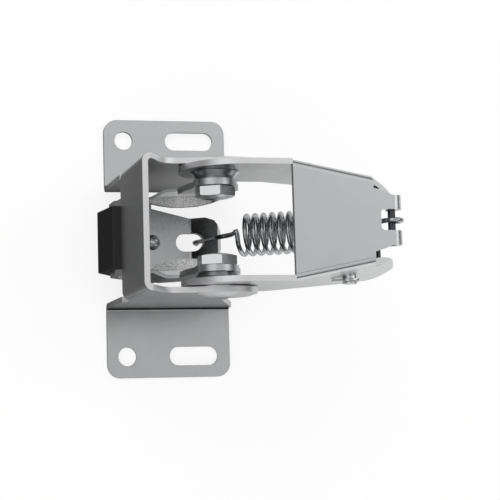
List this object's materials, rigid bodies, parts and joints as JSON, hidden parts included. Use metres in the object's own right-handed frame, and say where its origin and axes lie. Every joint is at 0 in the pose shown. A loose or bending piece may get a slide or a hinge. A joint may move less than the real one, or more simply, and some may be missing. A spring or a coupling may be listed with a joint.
{
  "type": "spring door catch",
  "caption": "Door catch with a folded steel bracket, a tapered swinging lever, a rubber-faced jaw on the same pivot line and a tension spring between them.",
  "frame": {"origin": "midway between the two round screw holes, on the back face of the flanges", "axes": "+X from the web towards the lever's tip, +Y across the lever, +Z away from the door"},
  "size_m": [0.1015, 0.0984, 0.087],
  "materials": {
    "zinc_sheet": "bright zinc plated",
    "jaw_steel": "zinc plated, rough cut edges",
    "rivet_steel": "bright zinc plated",
    "dark_pin_steel": "plain steel",
    "spring_wire": "zinc plated wire",
    "pad_rubber": "moulded, matt"
  },
  "bodies": {
    "bracket": {"mounting_bracket": "zinc_sheet", "pivot_rivet_upper": "rivet_steel", "pivot_rivet_lower": "rivet_steel", "pivot_cone_upper": "rivet_steel", "pivot_cone_lower": "rivet_steel", "pivot_bush_upper": "rivet_steel", "pivot_bush_lower": "rivet_steel", "pivot_washer_upper": "rivet_steel", "pivot_washer_lower": "rivet_steel"},
    "lever": {"catch_lever": "zinc_sheet", "spring_anchor_pin": "dark_pin_steel", "cross_pin": "rivet_steel", "cross_pin_clip": "rivet_steel", "cross_pin_washer": "rivet_steel", "tip_pin": "dark_pin_steel", "tension_spring": "spring_wire"},
    "jaw": {"pad_carrier": "jaw_steel", "rubber_pad": "pad_rubber", "pad_rivet": "rivet_steel", "pad_pin": "rivet_steel"}
  },
  "joints": [
    {"name": "lever_pivot", "type": "hinge", "parent": "jaw", "child": "lever", "pos_m": [0.0194, 0, 0.0666], "axis": [0, -1, 0], "range_deg": [-5, 70], "deforming": ["tension_spring"]},
    {"name": "jaw_pivot", "type": "hinge", "parent": "bracket", "child": "jaw", "pos_m": [0.0194, 0, 0.0666], "axis": [0, -1, 0], "range_deg": [-5, 12]}
  ]
}
